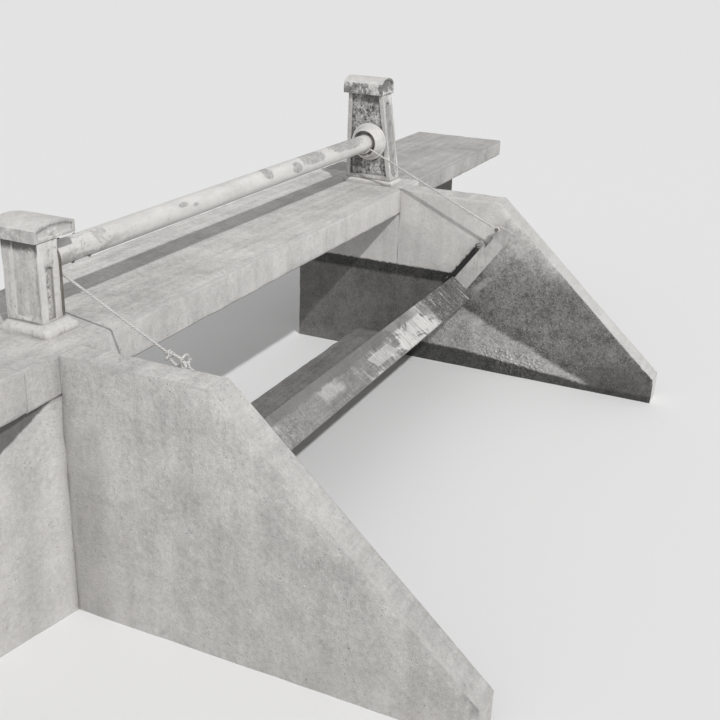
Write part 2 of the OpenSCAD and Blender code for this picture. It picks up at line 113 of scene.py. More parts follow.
# How far the wash has gone in each post's sunk faces
SUNK_WEAR = {"near_post": 0.16, "far_post": 1.0}


def grey(level, warm=0.0):
    """A colour of the given level, slightly warm or cool."""
    return (level * (1 + warm), level, level * (1 - 1.6 * warm), 1.0)


class Wire:
    """A shader value that takes part in Python arithmetic."""

    def __init__(self, net, socket):
        self.net = net
        self.socket = socket

    def maths(self, operation, *values, clamp=False):
        return self.net.node(
            "ShaderNodeMath", {"operation": operation, "use_clamp": clamp},
            **{str(i): v for i, v in enumerate(values)})

    def __add__(self, other):
        return self.maths("ADD", self, other)

    def __radd__(self, other):
        return self.maths("ADD", other, self)

    def __sub__(self, other):
        return self.maths("SUBTRACT", self, other)

    def __rsub__(self, other):
        return self.maths("SUBTRACT", other, self)

    def __mul__(self, other):
        return self.maths("MULTIPLY", self, other)

    def __rmul__(self, other):
        return self.maths("MULTIPLY", other, self)

    def __abs__(self):
        return self.maths("ABSOLUTE", self)

    def sine(self):
        return self.maths("SINE", self)

    def most(self, other):
        return self.maths("MAXIMUM", self, other)

    def limit(self):
        return self.maths("ADD", self, 0.0, clamp=True)

    def rise(self, low, high):
        """0 below low, 1 above high and smooth between; falls instead where low is above high."""
        back = low > high
        return self.net.node(
            "ShaderNodeMapRange", {"interpolation_type": "SMOOTHSTEP"},
            **{"0": self, "1": min(low, high), "2": max(low, high),
               "3": 1.0 if back else 0.0, "4": 0.0 if back else 1.0})

    def above(self, line, soft):
        """0 where this is below the line and 1 where it is above, over a soft stretch."""
        return (self - line).rise(-soft, soft)


class Net:
    """Adds nodes to a tree and joins their sockets."""

    def __init__(self, tree):
        self.tree = tree

    def node(self, kind, settings=None, out=0, **values):
        """Adds a node: its settings first, then the values or links of its sockets, named or numbered."""
        made = self.tree.nodes.new(kind)
        for name, value in (settings or {}).items():
            setattr(made, name, value)
        for name, value in values.items():
            socket = made.inputs[int(name) if name.isdigit() else name.replace("_", " ")]
            for one in value if isinstance(value, list) else [value]:
                self.join(one, socket)
        return Wire(self, made.outputs[out])

    def join(self, value, socket):
        if isinstance(value, Wire):
            self.tree.links.new(value.socket, socket)
        else:
            socket.default_value = value


class Finish(Net):
    """Builds one material, node by node, in shares of one grey tone."""

    def __init__(self, name, tone=1.0):
        self.tone = tone
        self.material = bpy.data.materials.new(name)
        self.material.use_nodes = True
        super().__init__(self.material.node_tree)
        self.tree.nodes.clear()
        output = self.tree.nodes.new("ShaderNodeOutputMaterial")
        self.shader = self.tree.nodes.new("ShaderNodeBsdfPrincipled")
        self.tree.links.new(self.shader.outputs[0], output.inputs[0])
        self.place = self.node("ShaderNodeTexCoord", out="Object")
        self.x, self.y, self.z = (self.part(self.place, i) for i in range(3))

    def part(self, vector, i):
        return self.node("ShaderNodeSeparateXYZ", out=i, **{"0": vector})

    def set(self, **values):
        """Sets or links the main shader's sockets."""
        for name, value in values.items():
            self.join(value, self.shader.inputs[name.replace("_", " ")])

    def cloud(self, scale, detail=4.0, rough=0.55, distort=0.0):
        """Cloudy noise about 0, mostly within a quarter either way, in waves a metre or for each axis."""
        at = self.place
        if isinstance(scale, tuple):
            at = self.node("ShaderNodeVectorMath", {"operation": "MULTIPLY"}, **{"0": at, "1": scale})
            scale = 1.0
        made = self.node(
            "ShaderNodeTexNoise", {"noise_dimensions": "3D"},
            Vector=at, Scale=scale, Detail=detail, Roughness=rough, Distortion=distort)
        return made - 0.5

    def cells(self, scale):
        """Distance from the middle of the nearest cell, as a share of the cell."""
        return self.node("ShaderNodeTexVoronoi", Vector=self.place, Scale=scale)

    def stones(self, scale, size=0.55):
        """Stones of the aggregate: each has its own level about 0, and fades at its rim."""
        colour = self.node("ShaderNodeTexVoronoi", out="Color", Vector=self.place, Scale=scale)
        return (self.part(colour, 0) - 0.5) * self.cells(scale).rise(size, size * 0.6)

    def attribute(self, name):
        return self.node("ShaderNodeAttribute", {"attribute_name": name}, out="Fac")

    def mix(self, share, first, second):
        """Mixes two colours, wires or tuples."""
        return self.node(
            "ShaderNodeMix", {"data_type": "RGBA", "clamp_factor": True},
            out=2, **{"0": share, "6": first, "7": second})

    def between(self, shade, dark, light):
        """A colour between dark and light levels, halfway where the shade is 0."""
        return self.mix((shade + 0.5).limit(), grey(dark, 0.02), grey(min(1.0, light), 0.02))

    def shaded(self, shade, dark, light):
        """A colour between dark and light shares of the tone."""
        return self.between(shade, self.tone * dark, self.tone * light)

    def lay(self, share, over):
        """Lays a colour over the finish so far."""
        self.colour = self.mix(share, self.colour, over)

    def tint(self, share, level, warm=0.0):
        """Lays a share of the tone over the finish so far."""
        self.lay(share, grey(min(1.0, self.tone * level), warm))

    def veil(self, share, shade, dark, light):
        """Lays a shaded colour over the finish so far."""
        self.lay(share, self.shaded(shade, dark, light))

    def faces(self, part):
        """1 on the faces that look downstream (part 1), down (2) or to the near bank (0)."""
        return self.facing(part).rise(-0.6, -0.9)

    def facing(self, part):
        """Part 0, 1 or 2 of the surface's own direction."""
        return self.part(self.node("ShaderNodeNewGeometry", out="Normal"), part)

    def done(self, rough, height, depth, strength, **more):
        """The material, with its colour, roughness and bumps joined to the shader."""
        bump = self.node("ShaderNodeBump", Height=height, Distance=depth, Strength=strength)
        self.set(Base_Color=self.colour, Roughness=rough, Normal=bump, **more)
        return self.material


def channel_stains(f, ripple):
    """The marks of the water on the walls' channel faces, above and below the flap."""
    inner = (f.facing(0) * f.x).rise(-0.8, -1.4)
    wander = f.cloud(2.4, 4, 0.6)
    leaf = HINGE.y - tan(FLAP_LEAN) * (f.z - HINGE.z)
    behind = f.y.above(leaf, 0.02) * inner
    ahead = inner - behind
    gravel = f.stones(80) * 0.9 + f.stones(150) * 0.8 + ripple * 1.6 + f.cloud(9, 6, 0.74) * 2.2
    pebbles = f.cells(62).rise(0.36, 0.20) * (f.cloud(15, 4, 0.7) + f.cloud(3, 2)).rise(-0.04, 0.12)
    # painted light: the channel faces made lighter, as little of the key light reaches them
    f.lay(inner * 0.34, grey(0.95, 0.02))

    # below the flap: dull lower down, with a pale washed zone over the tail water
    low = (f.z + wander * 0.6 + ripple * 0.2).rise(1.12, 0.66) * ahead
    f.veil(ahead * 0.75, gravel * 0.8, 0.64, 1.22)
    f.veil(low * 0.92, gravel, 0.12, 0.52)
    smear = abs((f.y + f.z * 0.92 - 0.497) * 0.74 + wander * 0.03).rise(0.030, 0.012)
    smear = smear * f.z.rise(0.58, 0.62) * f.z.rise(0.73, 0.69) * ahead
    f.tint(pebbles * ahead * 0.50 + smear * 0.34, 1.05, 0.02)
    toward_toe = f.y.rise(-0.42, -0.95) * ahead * low
    f.tint(toward_toe * 0.24, 0.08, 0.03)
    over = f.z - ((f.y * 0.41) + (wander * 0.16 + 0.44))
    belt = over.rise(0.17, 0.02) * over.rise(-0.03, 0.02) * ahead
    f.veil(belt * 0.60, gravel, 0.08, 0.34)
    washed = over.rise(0.012, -0.03) * ahead
    f.veil(washed * 0.92, gravel * 0.8, 0.42, 1.16)
    tail = (DOWNSTREAM_LEVEL + 0.008) + (f.y + 0.95).limit() * 0.088 + wander * 0.02 + ripple * 0.05
    near_tail = (f.z - tail + f.cloud(9, 4, 0.7) * 0.08).rise(0.105, 0.060)
    crust = f.cells(42).rise(0.55, 0.25) * near_tail * washed
    crust = crust * f.y.rise(-0.66, -0.52) * f.y.rise(-0.06, -0.20)
    f.veil(crust * 0.70, gravel, 0.50, 1.7)
    toe = (f.z + wander * 0.1).rise(0.34, 0.08) * f.y.rise(-0.78, -1.02) * ahead
    f.tint(toe * 0.60, 0.10, 0.03)
    wet = (f.z - tail).rise(0.010, -0.008) * ahead

    # above the flap: a black band along the upper water's level, and wet slime below it
    line = UPSTREAM_LEVEL + 0.072 + ripple * 0.03
    pool = (f.z - line).rise(0.008, -0.006) * behind
    slime = f.shaded(gravel * 0.7 + wander, 0.16, 0.40)
    scum = f.shaded(gravel + f.cloud(60, 3).rise(0.10, 0.16) * 1.2, 0.02, 0.13)
    band = (f.z - (UPSTREAM_LEVEL - 0.01)).rise(-0.012, 0.012)
    f.lay(pool, f.mix(band, slime, scum))
    f.veil(wet * 0.95, gravel, 0.03, 0.12)
    return pool.most(wet), crust


def concrete(name, tone, settings, contrast=1.0, downstream_light=0.22, channel=False, earth_and_shade=False, slab_shadow=None):
    """Old weathered concrete: mottles, stones, pits and lime, with painted shade along its arrises and dirt and
    painted shade in its corners.
    """
    f = Finish(name, tone)
    grime = f.attribute("grime")
    arris = f.attribute("arris")
    top = f.facing(2).rise(0.45, 0.70)
    side = 1 - top
    patches = f.cloud(5.5, 5, 0.62, 0.3)
    fine = f.cloud(42, 5, 0.7)
    dust = f.cloud(170, 3, 0.75)
    runs = f.cloud((8.0, 8.0, 0.7), 5, 0.6)
    brushed = f.cloud((1.3, 21.0, 21.0), 5, 0.65)
    shade = f.cloud(0.8, 4, 0.6) * 0.7 + patches * 0.8 + fine * 0.9 + dust * 0.9
    shade = shade + f.stones(110) * 0.16 + runs * side * 0.8 + brushed * top * 0.8
    f.colour = f.shaded(shade * contrast, 0.58, 1.42)
    # painted light: faces that look downstream made lighter, most of all towards the far bank
    lit_downstream = f.x.rise(-1.75, -1.50) + f.x.rise(0.6, 1.4) * 1.3
    lit_downstream = f.facing(1).rise(-0.5, -0.85) * lit_downstream * downstream_light
    f.tint(lit_downstream, 1.35, 0.02)
    f.tint(f.x.rise(-1.78, -2.08) * 0.27, 0.5, 0.02)
    # painted shade: the sloping faces made darker, as the key light falls on them strongly
    sloping_shade = f.facing(2).rise(0.25, 0.45) * f.facing(2).rise(0.90, 0.80)
    f.tint(sloping_shade * 0.30, 0.55, 0.02)
    pits = f.cells(58).rise(0.26, 0.12) * f.cloud(11, 3).rise(0.04, 0.16)
    f.tint(pits * 0.55, 0.36)
    lime = f.cells(23).rise(0.17, 0.06) * f.cloud(4.1, 3).rise(0.06, 0.15)
    spatter = (f.cells(1.9) + fine * 0.10).rise(0.034, 0.022) * top
    f.lay(lime * 0.5 + spatter * 0.8, grey(0.88, 0.01))
    lichen = (f.cloud(7.5, 7, 0.72, 0.4) + f.cloud(1.3, 3) * 0.5).rise(0.13, 0.22)
    f.tint(lichen * settings.dirt * 0.55, 0.50, 0.03)
    # painted shade: the arrises made darker, against the highlight their chipped edges catch
    wear = (arris + fine * 0.8).rise(0.70, 1.0)
    f.tint(wear * 0.30, 0.70, 0.02)
    # dirt and painted shade, darkest where the parts about it shelter the surface most
    soil_and_shade = (grime + patches * 0.7 + fine * 0.4).rise(0.10, 0.50)
    f.tint(soil_and_shade * settings.dirt * 0.9, 0.36, 0.04)
    foot = (f.z + patches * 0.5).rise(0.95, 0.05) * side
    f.tint(foot * 0.20, 0.45, 0.04)
    # painted shade on the faces that look down
    f.tint(f.faces(2) * 0.5, 0.40, 0.03)
    rough = 0.90 + fine * 0.12
    height = patches * 0.4 + fine * 0.7 + dust * 0.45 - pits * 0.5 + f.stones(110) * 0.25
    if channel:
        corner_damp = abs(f.y - CORNER_DAMP + runs * 0.10).rise(0.15, 0.02)
        corner_damp = corner_damp * (f.z + patches * 0.3).rise(1.12, 0.85)
        corner_damp = corner_damp * f.facing(0).rise(-0.7, -0.9) * f.x.rise(-1.75, -1.80)
        f.tint(corner_damp * 0.34, 0.40, 0.03)
        wet, crust = channel_stains(f, fine)
        rough = rough - wet * 0.55
        height = height + crust * 1.6 + f.stones(66) * 0.35
    # painted shadow of the near path slab: a dark wedge on the return wall's downstream face
    if slab_shadow:
        corner, slant = slab_shadow
        depth = (f.x - corner.x) * slant + (corner.z - f.z) + patches * 0.02 + fine * 0.01
        below = depth.rise(0.008, -0.008) * f.faces(1)
        f.veil(below * 0.86, patches + fine, 0.06, 0.20)
    # the far return wall made almost black beneath its slab, both as earth stain and as painted shade
    if earth_and_shade:
        earth_in_shade = (patches + f.z * 0.2).rise(-0.35, 0.35)
        f.lay(0.94, f.mix(earth_in_shade, grey(0.035, 0.06), grey(0.085, 0.05)))
    return f.done(rough, height, 0.005, 0.8)


def limewash(name, tone, settings, lichen=0.0, bay=None):
    """Rendered concrete with the last of its white wash, which has gone from the sunk faces, and with dirt and
    painted shade in its corners.

    lichen is how much of the upright faces has gone dark. A bay is the middle and half width of a bare
    strip down the downstream face, with its foot and top.
    """
    f = Finish(name, tone)
    grime = f.attribute("grime")
    sunk = f.attribute("sunk")
    top = f.facing(2).rise(0.45, 0.70)
    patches = f.cloud(15, 6, 0.66, 0.4)
    fine = f.cloud(85, 5, 0.72)
    runs = f.cloud((34.0, 34.0, 4.0), 6, 0.65)
    shade = f.cloud(3.0, 4, 0.6) * 0.8 + patches * 1.0 + fine * 0.9 + runs * (1 - top) * 1.1
    f.colour = f.shaded(shade, 0.62, 1.30)
    # painted light: faces that look downstream made lighter
    f.tint(f.facing(1).rise(-0.5, -0.85) * 0.30, 1.3, 0.02)
    flaked = (f.cloud(24, 7, 0.74, 0.7) + f.cloud(5, 3) * 0.7).rise(0.13, 0.20)
    f.tint(flaked * settings.dirt * 0.8, 0.30, 0.03)
    specks = f.cloud(60, 6, 0.78, 0.6).rise(0.12, 0.19) * f.cloud(6, 2).rise(-0.02, 0.08)
    f.tint(specks * settings.dirt * 1.4, 0.15, 0.03)
    stain = f.cloud((26.0, 26.0, 5.0), 6, 0.68, 0.3).rise(0.05, 0.14) * (1 - top)
    f.tint(stain * settings.dirt * 0.6, 0.48, 0.03)
    mottles = f.cloud(60, 4, 0.75, 0.5) * 4.4 + f.cloud(19, 4, 0.7) * 2.2 + runs * 1.2
    f.veil(sunk * 0.95, mottles, 0.06, 1.08)
    if bay:
        middle, half, foot, head = bay
        strip = abs(f.x - middle).rise(half + 0.003, half - 0.003) * f.z.above(foot, 0.004)
        strip = strip * (1 - f.z.above(head, 0.004)) * f.faces(1)
        f.veil(strip * 0.85, patches * 1.5 + runs, 0.45, 0.80)
    # dirt and painted shade where the surface is sheltered, with less of it on the sunk faces
    soil_and_shade = (grime + fine * 0.5 + patches * 0.8).rise(0.10, 0.48) * (1 - sunk * 0.45)
    f.tint(soil_and_shade * settings.dirt * 1.1, 0.24, 0.04)
    # painted shadow: a dark band on the near post's land face just beneath its cap
    ragged = f.z + fine * 0.06 + patches * 0.08
    near = f.faces(0) * f.x.rise(-1.5, -1.6)
    near_cap_shadow = ragged.rise(NEAR_HEAD - 0.055, NEAR_HEAD - 0.030) * near
    near_cap_shadow = near_cap_shadow * f.z.rise(NEAR_HEAD + 0.001, NEAR_HEAD - 0.001)
    f.tint(near_cap_shadow * 0.78, 0.12, 0.04)
    # painted shade in the far post's sunk face: dark beneath its cap and where the sleeve's shadow falls
    bitten = f.z + patches * 0.22 + f.cloud(52, 4, 0.7, 0.6) * 0.17
    far_cap_shade = bitten.rise(FAR_HEAD - 0.075, FAR_HEAD - 0.035)
    far_cap_shade = far_cap_shade * f.y.rise(TUBE_AXIS.y + 0.085, TUBE_AXIS.y + 0.045)
    rim = fine * 0.04 + patches * 0.05
    sleeve_shadow = (abs(f.y - (TUBE_AXIS.y + 0.092)) + rim).rise(0.040, 0.028)
    sleeve_shadow = sleeve_shadow * (abs(f.z - (DECK_TOP + 0.155)) + rim).rise(0.052, 0.040)
    dark = (far_cap_shade + sleeve_shadow).limit() * sunk * f.faces(0) * f.x.rise(1.5, 1.6)
    f.veil(dark * 0.90, mottles * 0.6, 0.02, 0.34)
    streaks = f.cloud((38.0, 38.0, 8.0), 5, 0.68, 0.5).rise(0.11, 0.20)
    f.tint(streaks * near * 0.55, 0.30, 0.04)
    if lichen:
        crust = (f.cloud(38, 6, 0.74, 0.5) * 0.9 + patches * 0.9 + f.cloud(7, 3) * 0.4).rise(0.16, 0.03)
        crust = crust * (1 - top) * lichen
        f.veil(crust, mottles * 0.55 + fine, 0.12, 0.50)
    height = patches * 0.5 + fine * 0.7 - flaked * 0.3 - specks * 0.4 - soil_and_shade * 0.3
    return f.done(0.88 + fine * 0.1, height, 0.004, 0.75)


def white_paint(name, tone, settings, worn=1.0):
    """Old white paint on steel, rubbed grey in long patches, with rust coming through."""
    f = Finish(name, tone)
    fine = f.cloud(90, 5, 0.7)
    patches = f.cloud(9, 6, 0.68, 0.5)
    length = f.cloud((4.0, 24.0, 24.0), 5, 0.6)
    f.colour = f.shaded(length * 0.9 + patches * 0.7 + fine * 0.4, 0.74, 1.22)
    area = f.cloud((3.4, 8.0, 8.0), 2, 0.5, 0.3) + f.cloud(34, 5, 0.7, 0.5) * 0.16
    rubbed = (area + f.x.rise(0.05, 0.45) * 0.07).rise(0.095, 0.110) * f.facing(1).rise(0.15, 0.45)
    ragged = f.cloud(13, 3, 0.6, 0.4) * 1.6 + f.cloud(44, 6, 0.76, 0.7) * 2.8
    for middle, height, half_long, half_high in RUBBED:
        far = (f.x - middle) * (1 / half_long)
        up = (f.z - (TUBE_AXIS.z + height)) * (1 / half_high)
        rubbed = rubbed.most((far * far + up * up + ragged).rise(1.12, 0.90) * f.facing(1).rise(0.45, 0.20))
    bare = f.shaded(f.cloud(48, 5, 0.75, 0.4) * 2.4 + patches, 0.36, 0.86)
    f.lay(rubbed * settings.wear * 1.2 * worn, bare)
    near_end = f.x.rise(TUBE_END + 0.85, TUBE_END + 0.15) * f.facing(2).rise(0.55, 0.05)
    smear = (f.cloud((7.0, 16.0, 16.0), 6, 0.7, 0.6) + fine * 0.2).rise(-0.04, 0.10)
    f.tint(smear * near_end * 0.62, 0.40, 0.04)
    blotch = (f.cloud(17, 6, 0.74, 0.7) + f.cloud(4, 2) * 0.5).rise(0.07, 0.17) * f.x.rise(0.15, -0.75)
    f.tint(blotch * worn * 0.50, 0.42, 0.03)
    rusty = (f.cloud(26, 7, 0.76, 0.8) + near_end * 0.020 + rubbed * 0.015).rise(0.165, 0.205)
    rust = f.mix(f.cloud(60, 4).rise(-0.2, 0.2), grey(0.075, 0.14), grey(0.22, 0.12))
    f.lay(rusty * settings.wear * 1.1, rust)
    # painted shade on the tube's underside
    below = f.facing(2).rise(-0.2, -0.8)
    f.tint(below * 0.35, 0.45, 0.02)
    rough = 0.48 + rusty * 0.35 + rubbed * 0.18 + fine * 0.1
    return f.done(rough, fine * 0.35 - rusty * 0.6 - rubbed * 0.25, 0.0015, 0.7)


def pale_steel(name, tone, settings):
    """Galvanised flat steel gone dull, with drips and the first rust."""
    f = Finish(name, tone)
    patches = f.cloud(11, 6, 0.65, 0.4)
    fine = f.cloud(120, 4, 0.7)
    drips = f.cloud((26.0, 26.0, 3.0), 5, 0.65)
    shade = patches * 0.9 + fine * 0.6 + drips * 0.9 + f.stones(40, 0.8) * 0.12
    f.colour = f.shaded(shade, 0.62, 1.32)
    rust = (f.cloud(24, 6, 0.75, 0.8) + f.cloud(2.7, 2) * 0.6).rise(0.15, 0.22)
    f.lay(rust * settings.wear * 0.8, grey(0.15, 0.14))
    return f.done(0.55 + rust * 0.3 + patches * 0.2, fine * 0.4 + patches * 0.4, 0.001, 0.6, Metallic=0.2)


def dark_steel(name, tone, settings):
    """Bare steel that has stood in the wet."""
    f = Finish(name)
    patches = f.cloud(18, 6, 0.7, 0.5)
    fine = f.cloud(140, 5, 0.7)
    shade = (patches * 1.6 + fine * 1.0 + 0.5).limit()
    f.colour = f.mix(shade, grey(tone * 0.40, 0.10), grey(tone * 1.6, 0.08))
    return f.done(0.64 + fine * 0.3, fine * 0.6 + patches * 0.5, 0.0012, 0.8, Metallic=0.35 * settings.wear)


def flap_place(f):
    """Wires for the place in the flap's own frame: through its thickness, and up along it."""
    down = f.y - HINGE.y
    up = f.z - HINGE.z
    through = down * cos(FLAP_LEAN) + up * sin(FLAP_LEAN)
    along = up * cos(FLAP_LEAN) - down * sin(FLAP_LEAN)
    return through, along


def wet_boards(name, tone):
    """Waterlogged boards with their grain, green-black low down."""
    f = Finish(name, tone)
    grain = f.cloud((2.2, 60.0, 60.0), 7, 0.72, 0.3)
    patches = f.cloud(7, 5, 0.65, 0.5)
    fine = f.cloud(120, 5, 0.7)
    f.colour = f.shaded(grain * 1.5 + patches * 1.0 + fine * 0.6, 0.35, 1.6)
    slime = (f.z + patches * 0.4).rise(0.62, 0.40)
    f.tint(slime * 0.5, 0.30, 0.06)
    return f.done(0.60 + grain * 0.3, grain + fine * 0.4, 0.003, 0.8)


def silted_crest(name, tone):
    """The crest board: smooth and wet along its upstream edge, streaked with silt elsewhere."""
    f = Finish(name, tone)
    through = flap_place(f)[0]
    grain = f.cloud((2.2, 60.0, 60.0), 7, 0.72, 0.3)
    across = f.cloud((34.0, 5.0, 5.0), 6, 0.74, 0.9)
    blots = f.cloud((5.0, 9.0, 9.0), 5, 0.66, 0.8)
    where = f.cloud((1.7, 1.0, 1.0), 3, 0.6)
    fine = f.cloud(95, 5, 0.72)
    lump = f.cloud(21, 6, 0.72, 1.1)
    f.colour = f.shaded(grain * 1.2 + blots * 1.4 + fine * 0.8, 0.40, 1.60)
    heap = f.x.rise(0.30, 0.52) * f.x.rise(1.04, 0.90)
    silt = across * 0.8 + blots * 0.6 + where * 0.9 + heap * 0.12
    silt = (silt + f.x.rise(-0.7, -1.1) * 0.12).rise(-0.02, 0.14)
    f.lay(silt * 0.75, f.between(across * 2.0 + fine + lump, 0.18, 0.66))
    litter = f.x.rise(-0.85, -1.15)
    pale = (blots * 0.9 + where * 0.5 + across * 0.30 + heap * 0.21 + litter * 0.10).rise(0.125, 0.16)
    f.lay(pale * 0.85, f.between(across * 1.6 + fine * 0.8, 0.44, 0.92))
    ragged = blots * 0.35 + lump * 0.10
    island = (abs(f.x + 0.42) + ragged).rise(0.150, 0.060)
    island = island * (abs(through + 0.070) + ragged * 0.5).rise(0.055, 0.020)
    sheet = (abs(f.x - 0.18 + through * 0.5) + lump * 0.02).rise(0.150, 0.144)
    sheet = sheet * (abs(through + 0.108) + lump * 0.01).rise(0.040, 0.036)
    f.lay((island * 0.80 + sheet * 0.85).limit(), f.between(across + fine + lump, 0.36, 0.78))
    near_half = (f.x + blots * 0.8).rise(-0.30, -0.85)
    film = f.between(fine * 1.8 + lump * 1.6 + across * 0.8 + blots, 0.16, 0.52)
    f.lay(near_half * 0.72, film)
    # painted highlights: glints on the wet crest
    painted_glints = (fine + lump * 0.8 + across * 0.5).rise(0.17, 0.24) * (where + blots * 0.6).rise(-0.05, 0.08)
    f.lay(painted_glints * 0.75, grey(0.78, 0.01))
    f.veil(f.x.rise(1.0, 1.12) * 0.88, fine * 2.4 + lump * 2.4, 0.05, 0.85)
    far_streaks = f.x.rise(0.95, 1.10) * (across + fine * 0.5).rise(0.07, 0.13)
    f.lay(far_streaks * 0.80, grey(0.66, 0.02))
    weed = (lump + across * 0.4).rise(0.16, 0.20)
    f.lay(weed * 0.7, grey(0.07, 0.05))
    edge = (through + across * 0.03 + blots * 0.03 + lump * 0.015).rise(-0.050, -0.030)
    edge = edge * f.x.rise(1.15, 0.75)
    f.veil(edge * 0.80, grain * 0.8 + blots * 0.8, 0.55, 1.05)
    height = grain * 0.5 + silt * 0.8 + across * 0.8 + lump * 0.5 - edge * 0.5
    return f.done(0.42 + silt * 0.35, height, 0.004, 0.8)


def seal_rubber(name, tone):
    """Black rubber strip, scuffed and frayed pale at its top end."""
    f = Finish(name)
    along = flap_place(f)[1]
    scuff = f.cloud((40.0, 60.0, 60.0), 5, 0.7)
    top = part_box("far_side_seal")[1]
    end = (top.z - HINGE.z) / cos(FLAP_LEAN) - 0.03
    frayed = (along + scuff * 0.2).rise(end - 0.050, end - 0.015)
    f.colour = f.mix(f.cloud(110, 5, 0.7) + 0.5, grey(tone * 0.5), grey(tone * 1.8))
    f.lay(frayed * 0.8, grey(0.42, 0.02))
    return f.done(0.5 + frayed * 0.35, scuff, 0.0015, 0.6)


def laid_rope(name, tone, pitch=0.042):
    """Three laid strands, from a UV map that holds the length in metres and the turn."""
    f = Finish(name, tone)
    uv = f.node("ShaderNodeTexCoord", out="UV")
    along, turn = f.part(uv, 0), f.part(uv, 1)
    strand = abs(((turn * 3 + along * (3 / pitch)) * pi).sine())
    fibre = f.cloud(260, 4, 0.7)
    dirt = f.cloud(14, 4, 0.7)
    # painted shade in the grooves between the strands
    f.colour = f.shaded((strand - 0.64) * 0.55 + fibre * 0.9 + dirt * 1.1, 0.52, 1.34)
    return f.done(0.85, strand * 0.8 + fibre * 0.3, 0.002, 0.9)


def piece_from(name, make, material, body, smooth=40):
    """A finished piece at the origin, from a function that fills a bmesh."""
    build = bmesh.new()
    make(build)
    mesh = bpy.data.meshes.new(name)
    build.to_mesh(mesh)
    build.free()
    mesh.shade_smooth()
    mesh.set_sharp_from_angle(angle=radians(smooth))
    mesh.materials.append(material)
    return shown(name, mesh, body)


def shown(name, mesh, body):
    piece = bpy.data.objects.new(name, mesh)
    bpy.context.scene.collection.objects.link(piece)
    if body:
        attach(piece, body)
    return piece


def repaint(node, material):
    """Gives a CAD node its material."""
    mesh = frame["nodes"][node].data
    mesh.materials.clear()
    mesh.materials.append(material)


def structure_tree():
    """All the fixed pieces as one tree to cast rays at."""
    points, faces = [], []
    for node in frame["record"]["behaviour"]["bodies"][STRUCTURE]:
        mesh = frame["nodes"][node].data
        mesh.calc_loop_triangles()
        start = len(points)
        points += [vert.co.copy() for vert in mesh.vertices]
        faces += [[start + i for i in face.vertices] for face in mesh.loop_triangles]
    return BVHTree.FromPolygons(points, faces)


def hemisphere(count):
    """Directions spread evenly over the half space above."""
    golden = pi * (3 - sqrt(5))
    ways = []
    for i in range(count):
        z = 0.12 + 0.88 * (i + 0.5) / count
        flat = sqrt(1 - z * z)
        ways.append(Vector((flat * cos(golden * i), flat * sin(golden * i), z)))
    return ways


def shelter(tree, at, normal, ways, reach):
    """How much of what lies within reach of a point on the surface is close by, from 0 to 1."""
    turn = normal.to_track_quat("Z", "Y")
    start = at + normal * 0.003
    total = 0.0
    for way in ways:
        distance = tree.ray_cast(start, turn @ way, reach)[3]
        if distance is not None:
            total += 1 - distance / reach
    return total / len(ways)


def cut_grid(build, step, edge):
    """Cuts the whole mesh by planes, closer together near its ends."""
    low = Vector([min(v.co[i] for v in build.verts) for i in range(3)])
    high = Vector([max(v.co[i] for v in build.verts) for i in range(3)])
    for axis in range(3):
        span = high[axis] - low[axis]
        places = [low[axis] + edge, high[axis] - edge] if span > 4 * edge else []
        count = max(1, round(span / step))
        places += [low[axis] + span * i / count for i in range(1, count)]
        way = Matrix.Identity(3)[axis]
        for at in sorted(places):
            bmesh.ops.bisect_plane(
                build, geom=build.verts[:] + build.edges[:] + build.faces[:],
                dist=1e-6, plane_co=way * at, plane_no=way)


def sunk_share(node, vert, low, high):
    """1 on the sunk faces of a post, from how deep they lie below its sides."""
    if node not in SLOTS:
        return 0.0
    half, foot, head = SLOTS[node]
    deep = min(vert.co.x - low.x, high.x - vert.co.x)
    across = any(abs(face.normal.x) > 0.9 for face in vert.link_faces)
    if across and 0.003 < deep < 0.03:
        return SUNK_WEAR[node]
    off = abs(vert.co.x - (low.x + high.x) / 2)
    up = vert.co.z - DECK_TOP
    inside = off < half - 0.001 and foot < up < head
    return 0.85 if inside and any(abs(face.normal.y) > 0.9 for face in vert.link_faces) else 0.0


def weathered(node, material, tree, chip, seed, step=0.06, edge=0.02, swell=0.0022, reach=0.12):
    """A copy of a CAD node whose faces wander and whose arrises are chipped, with how sheltered each point is
    worked out for its dirt and painted shade.
    """
    source = frame["nodes"][node].data
    ways = hemisphere(18)

    def make(build):
        build.from_mesh(source)
        bmesh.ops.remove_doubles(build, verts=build.verts[:], dist=2e-5)
        bmesh.ops.dissolve_limit(
            build, angle_limit=radians(0.4), verts=build.verts[:], edges=build.edges[:])
        cut_grid(build, step, edge)
        bmesh.ops.triangulate(build, faces=[face for face in build.faces if len(face.verts) > 4])
        build.normal_update()
        low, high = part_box(node)
        grime = build.verts.layers.float.new("grime")
        arris = build.verts.layers.float.new("arris")
        sunk = build.verts.layers.float.new("sunk")
        moves = []
        for vert in build.verts:
            at = vert.co + Vector((seed, 1.7 * seed, 0))
            sharp = max((near.calc_face_angle(0.0) for near in vert.link_edges), default=0.0)
            wander = noise.noise(at * 3.1) * 0.6 + noise.noise(at * 11.0) * 0.4
            move = wander * swell
            if sharp > radians(25):
                vert[arris] = 1.0
                chance = noise.noise(at * 7.0) * 0.6 + noise.noise(at * 23.0) * 0.6
                move -= chip * max(0.0, chance + 0.12)
            # how sheltered the point is, which sets the dirt and painted shade in its corners
            vert[grime] = shelter(tree, vert.co, vert.normal, ways, reach)
            vert[sunk] = sunk_share(node, vert, low, high)
            moves.append(vert.normal * move)
        for vert, move in zip(build.verts, moves):
            on_floor = vert.co.z < low.z + 1e-4 and low.z < 1e-3
            vert.co += Vector((move.x, move.y, 0.0)) if on_floor else move

    piece = piece_from(node + "_face", make, material, STRUCTURE, smooth=32)
    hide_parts(node)
    return piece


